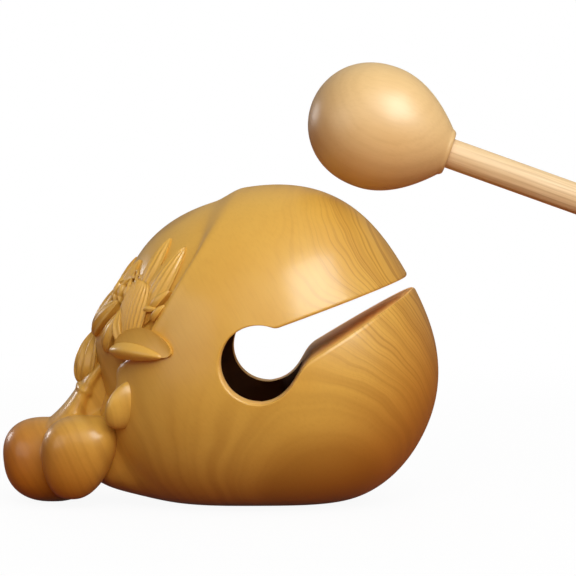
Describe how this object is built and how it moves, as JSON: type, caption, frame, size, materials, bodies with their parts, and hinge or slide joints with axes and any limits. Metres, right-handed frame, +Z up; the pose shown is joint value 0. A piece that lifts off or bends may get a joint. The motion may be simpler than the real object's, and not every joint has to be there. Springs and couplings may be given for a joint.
{
  "type": "wooden fish drum with striker",
  "caption": "Hollow carved wooden fish drum with a keyhole eye and mouth, a lotus and tail knob carved on its back, and a round-headed striker swung by hand.",
  "frame": {"origin": "on the floor, at the middle of the flat that the fish rests on", "axes": "+X from the tail knob to the mouth, +Y to the fish's left, +Z up"},
  "size_m": [0.2768, 0.0842, 0.1279],
  "materials": {
    "carved_boxwood": "gloss varnish over golden carved wood",
    "turned_head_wood": "satin varnish over pale turned wood",
    "stick_wood": "bare sanded wood"
  },
  "bodies": {
    "fish": {"fish_body": "carved_boxwood"},
    "striker": {"striker_head": "turned_head_wood", "striker_handle": "stick_wood"}
  },
  "joints": [
    {"name": "striker_swing", "type": "hinge", "parent": "fish", "child": "striker", "pos_m": [0.15979, 0, 0.06426], "axis": [0, 1, 0], "range_deg": [-2.1, 35]}
  ]
}
